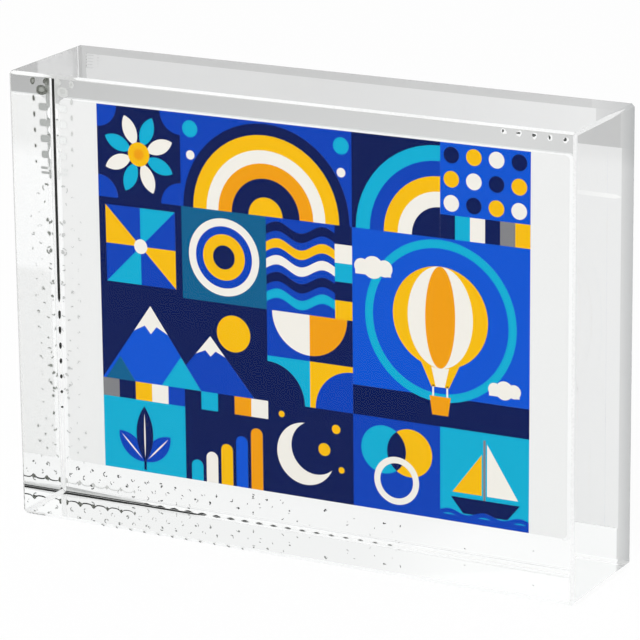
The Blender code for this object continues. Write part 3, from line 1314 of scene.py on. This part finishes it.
class CRYSTAL_OT_film_edge(bpy.types.Operator):
    """Trace the film's ragged edge beside the sheet at the upper left and along the bottom"""

    bl_idname = "crystal.film_edge"
    bl_label = "Film edge"

    def execute(self, context):
        pitch = context.scene.crystal_pockets.pitch
        draw = random.Random(context.scene.crystal_pockets.seed + 1)
        # Real film edge, partly with painted shade and sheen: colours straight, mirrored and at a slant
        hazy = screen(214, 214, 214)
        materials = (
            trapped_material("film_edge_tabs", screen(236, 237, 236), screen(174, 176, 174), hazy),
            trapped_material("film_edge_blobs", screen(210, 211, 209), screen(108, 110, 104), hazy),
            trapped_material("film_edge_painted_shadow_band", screen(206, 207, 206), screen(250, 250, 250), hazy),
            trapped_material("film_edge_line", screen(226, 227, 226), screen(62, 64, 62), hazy),
            trapped_material("film_edge_cores", screen(200, 201, 199), screen(150, 152, 147), hazy),
            trapped_material("film_edge_bites", screen(252, 252, 252), steep=hazy),
            trapped_material("film_edge_top", screen(200, 201, 200), screen(172, 174, 172), hazy),
        )
        tabs, blobs, band, line, cores, bites, top = range(len(materials))
        shape = bmesh.new()

        def lay(outline, material_index, layer=0):
            lay_air(shape, [(max(u, FLAT_START), v) for u, v in outline], material_index, layer)

        # The upright spine at the upper left with its four tabs, one for each row of pockets, and its top
        left, right = 0.00055, 0.0012
        notch = right - 0.0002
        for row in range(4):
            middle = 0.0661 - row * pitch
            tip = 0.0027 - 0.0001 * row
            lay(rounded_rectangle(notch, middle - 0.0006, tip, middle + 0.0006, 0.0004, 4), tabs)
            low, high = middle - 0.0020, middle + 0.0008
            lay([(left + 0.0001 * row, low), (notch, low), (right, high), (left, high)], tabs, 1)
        low, bend, high = 0.0668, 0.0684, 0.0728
        lay([(left, low), (right, low), (right + 0.0001, bend), (left, bend)], top)
        lay([(left, bend), (right + 0.0001, bend), (right + 0.0002, high), (left, high)], cores)
        # Two level bars and an upright one below the spine
        for bar_left, bar_right, middle in ((0.0013, 0.0026, 0.0558), (0.0010, 0.0025, 0.0550)):
            lay(rounded_rectangle(bar_left, middle - 0.00019, bar_right, middle + 0.00019, 0.00015, 3), tabs)
        lay(rounded_rectangle(0.0006, 0.0541, 0.0010, 0.0556, 0.00018, 3), tabs, 1)

        # White bites out of the spine, dark blobs round its top with paler cores, and a row of blobs
        for centre, radius, swing, material_index, layer in (
            ((0.00055, 0.0652), (0.00048, 0.00100), 0.12, bites, 2),
            ((0.00050, 0.0623), (0.00050, 0.00066), 0.12, bites, 2),
            ((0.00055, 0.0583), (0.00040, 0.00110), 0.12, bites, 2),
            ((0.0020, 0.0689), (0.00114, 0.00080), 0.12, blobs, 3),
            ((0.0037, 0.0703), (0.00044, 0.00062), 0.16, blobs, 3),
            ((0.0010, 0.0705), 0.00066, 0.20, blobs, 3),
            ((0.0020, 0.0690), (0.0006, 0.0004), 0.15, cores, 4),
            ((0.0037, 0.0703), (0.00020, 0.00034), 0.15, cores, 4),
            ((0.0011, 0.0701), (0.00026, 0.00016), 0.15, cores, 4),
        ):
            lay(uneven_blob(draw, centre, radius, swing), material_index, layer)
        for row in range(5):
            size = 0.00046 - 0.00005 * row
            centre = (0.00362 - 0.00004 * row, 0.0674 - row * pitch)
            lay(uneven_blob(draw, centre, (size * 0.5, size), 0.2), blobs, 2)

        # The scalloped line along the bottom hangs in bows between raised cusps, one pitch apart
        cusp_first, base, rise = 0.00053, 0.00158, 0.00066
        bows, steps_each = 5, 12
        stations = []
        for step in range(bows * steps_each + 1):
            share = step / steps_each
            within = abs(2 * (share % 1) - 1)
            stations.append((cusp_first + share * pitch, base + rise * within ** 3.2))
        thick = []
        for index in range(len(stations)):
            share = index / len(stations)
            thick.append(0.00013 * (0.45 + 3.2 * share if share < 0.17 else 1 - 0.6 * (share - 0.17)))
        upper = [(u, v + half) for (u, v), half in zip(stations, thick)]
        lower = [(u, v - half) for (u, v), half in zip(stations, thick)]
        lay(lower + upper[::-1], line, 1)
        for tooth in range(bows + 1):
            size = 1 - 0.11 * tooth
            root = (cusp_first + tooth * pitch, base + rise * 0.45)
            lay(uneven_blob(draw, root, (0.00038 * size, 0.00054 * size), 0.35), blobs, 2)
        # A band of painted shadow low on the back face, narrowing to the right
        reach = len(stations) * 4 // 5
        foot = [(u, 0.00048) for u, _ in stations[:reach]]
        taper = [(u, 0.00095 - 0.00045 * index / reach) for index, (u, _) in enumerate(stations[:reach])]
        lay(foot + taper[::-1], band)
        finish_piece("film_edge", shape, materials)

        # Specks in the front chamfers: a row along the bottom, and more toward the lower left corner
        specks = bmesh.new()
        width = context.scene.crystal_edges.width
        front_left, front_bottom = on_edge(2, -1, -1, width), on_edge(0, -1, -1, width)

        def speckle(place, centre, radius):
            outline = uneven_blob(draw, centre, radius, 0.5)
            lay_on_edge(specks, [(u, min(max(v, 0.01), 0.99)) for u, v in outline], place)

        for tick in range(11):
            speckle(front_bottom, (0.0154 + tick * 0.00262, 0.5), (draw.uniform(0.00016, 0.0003), 0.42))
        for place, reach, count, spread in ((front_left, 0.0095, 22, 0.36), (front_bottom, 0.0042, 14, 0.16)):
            for _ in range(count):
                centre = (0.0006 + (reach - 0.0006) * draw.random(), draw.uniform(0.35, 0.65))
                speckle(place, centre, (draw.uniform(0.00008, 0.00026), draw.uniform(0.6, 1.4) * spread))
        speck = trapped_material("corner_specks", screen(112, 114, 112))
        finish_piece("corner_specks", specks, (speck,))
        return {"FINISHED"}


def on_facet(side, end, width):
    """A function from a place on the small facet at a lower corner of the block to space.

    The sides (-1 or 1) say which corner it is: side to the left or right, end to the front or back. The
    function takes two shares from 0 to 1, and the depth into the block.
    """

    def place(u, v, sunk):
        point = Vector((u, v, 2.0 - u - v)) * width
        x = BLOCK_LOW.x + point.x + sunk if side < 0 else BLOCK_HIGH.x - point.x - sunk
        y = BLOCK_LOW.y + point.y + sunk if end < 0 else BACK_FACE - point.y - sunk
        return Vector((x, y, BLOCK_LOW.z + point.z + sunk))

    return place


class CRYSTAL_OT_edges(bpy.types.Operator):
    """Paint highlights and shade into the chamfers: bright at the front, dark at the back left and back
    bottom
    """

    bl_idname = "crystal.edges"
    bl_label = "Chamfered edges"

    def execute(self, context):
        finish = context.scene.crystal_edges
        # A painted highlight, used in the front chamfers and behind the back ones
        highlight = trapped_material("painted_highlight_edge", tuple(finish.painted_highlight))
        self.front(finish.width, highlight)
        self.back(finish, highlight, context.scene.crystal_pockets.pitch)
        return {"FINISHED"}

    def front(self, chamfer, highlight):
        """Painted highlights along the front's edges and the right face's top, over painted grey shade."""
        materials = (
            highlight,
            trapped_material("painted_grey_edge", screen(207, 207, 206)),
            trapped_material("painted_pale_grey_edge", screen(231, 231, 231), strength=0.08),
        )
        bright, grey_shade, soft = range(len(materials))
        top, right = on_edge(0, -1, 1, chamfer), on_edge(2, 1, -1, chamfer)
        left, right_top = on_edge(2, -1, -1, chamfer), on_edge(1, 1, 1, chamfer)
        inset = 0.0004
        bend = [(0.0080, 0.0), (0.0180, 0.22), (HEIGHT - inset, 0.22)]
        shape = bmesh.new()
        for outline, place, layer, material_index in (
            (rectangle(inset, 0.0, WIDTH - inset, 1.0), top, 1, grey_shade),
            (lens(inset, 0.0082, 0.0, 1.0, 0.0006, 0.0034), top, 0, bright),
            (lens(0.0122, WIDTH - inset, 0.22, 1.0, 0.0010, 0.0002), top, 0, bright),
            ([(inset, 1.0), (inset, 0.0)] + bend + [(HEIGHT - inset, 1.0)], right, 0, bright),
            (bend + [(HEIGHT - inset, 0.0)], right, 0, soft),
            (rectangle(0.0006, 0.0, HEIGHT - 0.0006, 1.0), left, 1, grey_shade),
            (lens(inset, DEPTH * 0.84, 0.0, 1.0, 0.0110, 0.0070), right_top, 0, bright),
        ):
            lay_on_edge(shape, outline, place, layer, material_index)
        finish_piece("satin_front_edges", shape, materials)

    def back(self, finish, highlight, pitch):
        """Painted shade: dark lines on the back left and back bottom edges. Painted highlight: the pale foot.
        """
        # Painted shade and highlights, whose colours change with the slant and in the polished sides
        shade, band = tuple(finish.shade), screen(206, 207, 206)
        white, dim, grey = (0.97, 0.97, 0.97), screen(195, 195, 195), screen(203, 203, 203)
        materials = (
            trapped_material("dark_edge", white, steep_mirrored=shade),
            highlight,
            trapped_material("dark_upright_edge", shade, white, dim, white),
            trapped_material("pale_edge", white, strength=0.08),
            trapped_material("dark_edge_in_the_corner", band, steep_mirrored=shade),
            trapped_material("dark_edge_bumps", shade, steep=white, steep_mirrored=shade),
            trapped_material("pale_upright_edge", white, None, dim, white, 0.08),
            trapped_material("pale_edge_at_the_right", white, steep=grey, strength=0.08),
        )
        dark, rear, upright, pale, dark_end, dark_bump, pale_upright, pale_right = range(len(materials))
        shape = bmesh.new()

        def front_foot(u, v, sunk):
            return Vector((BLOCK_LOW.x + u, BLOCK_LOW.y + finish.width + sunk, BLOCK_LOW.z + v))

        inset, foot_inset = 0.0006, 0.0007
        past_sheet = SHEET_RIGHT + 0.0007
        # Painted highlights: a pale strip behind the front bottom chamfer, and one low on the back face
        lay_on_edge(shape, rectangle(foot_inset, 0.00001, WIDTH - foot_inset, 0.0006), front_foot, 0, pale)
        add_slab(shape, rectangle(foot_inset, 0.00046, past_sheet, 0.00073), on_back_face,
                 AIR_DEPTH - 2 * AIR_THICKNESS, EDGE_THICKNESS, pale)
        # Painted highlights: pale strips along the lower edges and the back left one, a little thinner than
        #         the lines on them
        strip_thickness = EDGE_THICKNESS - 0.000002
        for axis, first_side, second_side, start, end, material_index in (
            (0, 1, -1, inset, past_sheet, pale),
            (0, 1, -1, past_sheet, WIDTH - inset, pale_right),
            (1, -1, -1, inset, DEPTH - inset, pale),
            (1, 1, -1, inset, DEPTH - inset, pale),
            (2, -1, 1, inset, HEIGHT - inset, pale_upright),
        ):
            place = on_edge(axis, first_side, second_side, finish.width)
            strip = rectangle(start, 0.0, end, 1.0)
            add_slab(shape, strip, place, EDGE_DEPTH, strip_thickness, material_index)

        # Painted shade: the dark upright line, and the ever shorter dashes below it
        lines = [(finish.upright_end, HEIGHT - 0.0005, 0.0010)]
        length, middle = 0.0016, finish.upright_end - 0.0021
        while length > 0.0003:
            lines.append((middle - length / 2, middle + length / 2, length * 0.4))
            middle -= pitch
            length -= 0.0002
        back_left = on_edge(2, -1, 1, finish.width)
        for low, high, taper in lines:
            outline = lens(low, high, 0.1, 0.85, taper, min(taper, 0.0003))
            lay_on_edge(shape, outline, back_left, 1, upright, rear)

        # Painted shade: the dark level line, and the ever smaller bumps along it
        back_bottom = on_edge(0, 1, -1, finish.width)
        for outline, layer, material_index in (
            (lens(0.0003, 0.0165, 0.0, 1.0, 0.0001, 0.0070), 2, dark_end),
            (lens(0.0110, finish.level_end, 0.2, 1.0, 0.0020, 0.0030), 1, dark),
            (lens(0.0003, 0.0200, 0.70, 1.0, 0.0001, 0.0060), 4, dark_bump),
        ):
            lay_on_edge(shape, outline, back_bottom, layer, material_index, rear)
        middle, last_middle = 0.0163, 0.0625
        half, rise = 0.00105, 0.55
        while middle < last_middle:
            corners = ((-1, 0), (-0.4, 0.8), (0, 1), (0.5, 0.6), (1, 0))
            outline = [(middle + half * across, 1.0 - rise * up) for across, up in corners]
            lay_on_edge(shape, outline, back_bottom, 3, dark_bump, rear)
            middle += pitch
            half *= 0.955
            rise *= 0.94
        # Painted shade and highlights on the small facets at three lower corners
        facet = [(0.0, 1.0), (1.0, 0.0), (1.0, 1.0)]
        for side, end, material_index in ((-1, 1, dark), (1, 1, pale_right), (-1, -1, pale)):
            lay_on_edge(shape, facet, on_facet(side, end, finish.width), 2, material_index)
        finish_piece("dark_back_edges", shape, materials)


# Studio


def aim(target, azimuth, elevation, distance, roll=0.0):
    """The matrix of something that looks at target from distance away."""
    level = math.cos(elevation)
    view = Vector((-math.sin(azimuth) * level, math.cos(azimuth) * level, -math.sin(elevation)))
    right = view.cross(Vector((0, 0, 1))).normalized()
    up = right.cross(view)
    leaned_right = math.cos(roll) * right + math.sin(roll) * up
    leaned_up = math.cos(roll) * up - math.sin(roll) * right
    turn = Matrix((leaned_right, leaned_up, -view)).transposed().to_4x4()
    return Matrix.Translation(target - view * distance) @ turn


def add_camera(studio):
    """The camera at the photograph's viewing angle."""
    data = bpy.data.cameras.new("camera")
    data.lens = studio.lens
    data.sensor_width = 36.0
    data.clip_start = 0.01
    camera = add_object("camera", data)
    target = Vector((BLOCK_LOW.x + studio.target_right, BLOCK_LOW.y, studio.target_up))
    camera.matrix_world = aim(target, studio.azimuth, studio.elevation, studio.distance, studio.roll)
    bpy.context.scene.camera = camera


def add_lamp(name, power, size, azimuth, elevation, distance):
    """A large soft lamp that shines on the middle of the block. Its angles are in degrees."""
    data = bpy.data.lights.new(name, "AREA")
    data.energy = power
    data.shape = "RECTANGLE"
    data.size, data.size_y = size
    lamp = add_object(name, data)
    middle = (CAD_LOW + CAD_HIGH) / 2
    lamp.matrix_world = aim(middle, math.radians(azimuth), math.radians(elevation), distance)


def floor_material(studio):
    """A pale floor: white to the camera but for the block's shadow; in the glass, painted shadow and shade.
    """
    # Behind the block the floor's painted shade is lightest this far to the left, and darkest a stretch off
    #     from there
    palest, stretch = 0.09, 0.26
    # Where the painted shadow beside the block's left half ends, and where the painted shade behind the
    #     block starts
    beside_ends, behind_starts = (0.008, 0.024), (0.245, 0.263)
    finish, tree, output = new_material("pale_floor")
    place = split_place(tree)
    offset = math_node(tree, "ABSOLUTE", math_node(tree, "ADD", place["X"], palest))
    far = mix_colour(tree, map_range(tree, offset, 0.0, stretch), studio.floor_far_painted_shade, studio.floor_side_painted_shade)
    beside = map_range(tree, place["X"], *beside_ends, smooth=True)
    near = mix_colour(tree, beside, studio.floor_painted_shadow, studio.floor_near)
    away = map_range(tree, place["Y"], *behind_starts, smooth=True)
    colour = mix_colour(tree, away, near, far)
    camera = tree.nodes.new("ShaderNodeLightPath").outputs["Is Camera Ray"]
    in_glass = ray_mask(tree, "Is Glossy Ray", "Is Transmission Ray")
    matt = tree.nodes.new("ShaderNodeBsdfDiffuse")
    tree.links.new(mix_colour(tree, camera, colour, WHITE), matt.inputs["Color"])
    glow = tree.nodes.new("ShaderNodeEmission")
    tree.links.new(mix_colour(tree, in_glass, WHITE, colour), glow.inputs["Color"])
    seen = math_node(tree, "MAXIMUM", camera, in_glass)
    mix_shaders(tree, math_node(tree, "MULTIPLY", seen, 0.9), matt, glow, output)
    return finish


def add_floor(studio):
    """A round floor just under the block, so that the block's bottom face stays a face of its own."""
    shape = bmesh.new()
    bmesh.ops.create_circle(shape, cap_ends=True, radius=1.2, segments=96)
    bmesh.ops.translate(shape, vec=(0.0, 0.0, -FLOOR_GAP), verts=shape.verts)
    floor = add_mesh("floor", shape, [floor_material(studio)])


def set_world(studio):
    """Soft light from all round: white to the camera, paler above than at the horizon elsewhere."""
    # How far to the right a direction points where the surroundings change, and how far up for the last
    wall_ends, glow_ends, rise = (-0.467, -0.367), (-0.4425, -0.4125), (-0.1, 0.9)
    world = bpy.data.worlds.new("studio")
    world.use_nodes = True
    bpy.context.scene.world = world
    tree = world.node_tree
    tree.nodes.clear()
    output = tree.nodes.new("ShaderNodeOutputWorld")
    direction = split_place(tree, "Generated")
    path = tree.nodes.new("ShaderNodeLightPath").outputs
    sideways = map_range(tree, direction["X"], *wall_ends, smooth=True)
    wall = mix_colour(tree, sideways, studio.wall_left, (0.95, 0.95, 0.95))
    past_left = map_range(tree, direction["X"], *glow_ends, smooth=True)
    through = mix_colour(tree, past_left, (0.895, 0.895, 0.895), (0.98, 0.98, 0.98))
    behind_glass = mix_colour(tree, path["Is Transmission Ray"], wall, through)
    overhead = mix_colour(tree, path["Is Transmission Ray"], WHITE, behind_glass)
    up = map_range(tree, direction["Z"], *rise, smooth=True)
    sky = mix_colour(tree, up, behind_glass, overhead)
    colour = mix_colour(tree, path["Is Camera Ray"], sky, WHITE)
    in_glass = ray_mask(tree, "Is Glossy Ray", "Is Transmission Ray")
    seen = math_node(tree, "MAXIMUM", path["Is Camera Ray"], in_glass)
    strength = map_range(tree, seen, 0.0, 1.0, studio.soft_light, 1.0)
    background = tree.nodes.new("ShaderNodeBackground")
    tree.links.new(colour, background.inputs["Color"])
    tree.links.new(strength, background.inputs["Strength"])
    tree.links.new(background.outputs[0], output.inputs["Surface"])


class CRYSTAL_OT_studio(bpy.types.Operator):
    """Set up the floor, the soft light and the camera"""

    bl_idname = "crystal.studio"
    bl_label = "Studio"

    def execute(self, context):
        studio = context.scene.crystal_studio
        for old in list(context.scene.objects):
            if old.type in {"CAMERA", "LIGHT"}:
                bpy.data.objects.remove(old, do_unlink=True)
        add_camera(studio)
        add_floor(studio)
        set_world(studio)
        add_lamp("key_lamp", studio.key_power, (0.6, 0.6), azimuth=-35.0, elevation=40.0, distance=0.75)
        add_lamp("fill_lamp", studio.fill_power, (0.5, 0.7), azimuth=60.0, elevation=25.0, distance=0.8)
        context.scene.view_settings.view_transform = "Standard"
        context.scene.cycles.glossy_bounces = 12
        context.scene.cycles.max_bounces = 16
        return {"FINISHED"}


SETTINGS = (
    ("crystal_block", BlockFinish, "Clear block"),
    ("crystal_sheet", SheetFinish, "White sheet"),
    ("crystal_inks", PictureInks, "Inks"),
    ("crystal_pockets", AirPocketPattern, "Air pockets"),
    ("crystal_edges", EdgeFinish, "Chamfered edges"),
    ("crystal_studio", StudioSetup, "Studio"),
)

OPERATORS = (
    CRYSTAL_OT_block,
    CRYSTAL_OT_film,
    CRYSTAL_OT_painted_sheen,
    CRYSTAL_OT_sheet,
    CRYSTAL_OT_picture,
    CRYSTAL_OT_pockets,
    CRYSTAL_OT_film_edge,
    CRYSTAL_OT_edges,
    CRYSTAL_OT_studio,
)


class CRYSTAL_PT_sidebar(bpy.types.Panel):
    """Lists the crystal's settings and pieces"""

    bl_idname = "CRYSTAL_PT_sidebar"
    bl_label = "Photo crystal"
    bl_space_type = "VIEW_3D"
    bl_region_type = "UI"
    bl_category = "Photo crystal"

    def draw(self, context):
        for attribute, group, label in SETTINGS:
            box = self.layout.box()
            box.label(text=label)
            for name in group.__annotations__:
                box.prop(getattr(context.scene, attribute), name)
        for operator in OPERATORS:
            self.layout.operator(operator.bl_idname)


def register():
    for attribute, group, _ in SETTINGS:
        bpy.utils.register_class(group)
        setattr(bpy.types.Scene, attribute, PointerProperty(type=group))
    for operator in OPERATORS:
        bpy.utils.register_class(operator)
    bpy.utils.register_class(CRYSTAL_PT_sidebar)


def unregister():
    bpy.utils.unregister_class(CRYSTAL_PT_sidebar)
    for operator in reversed(OPERATORS):
        bpy.utils.unregister_class(operator)
    for attribute, group, _ in reversed(SETTINGS):
        delattr(bpy.types.Scene, attribute)
        bpy.utils.unregister_class(group)


def main():
    register()
    bpy.ops.crystal.block()
    bpy.ops.crystal.film()
    bpy.ops.crystal.haze()
    bpy.ops.crystal.sheet()
    bpy.ops.crystal.picture()
    bpy.ops.crystal.pockets()
    bpy.ops.crystal.film_edge()
    bpy.ops.crystal.edges()
    bpy.ops.crystal.studio()


if __name__ == "__main__":
    main()
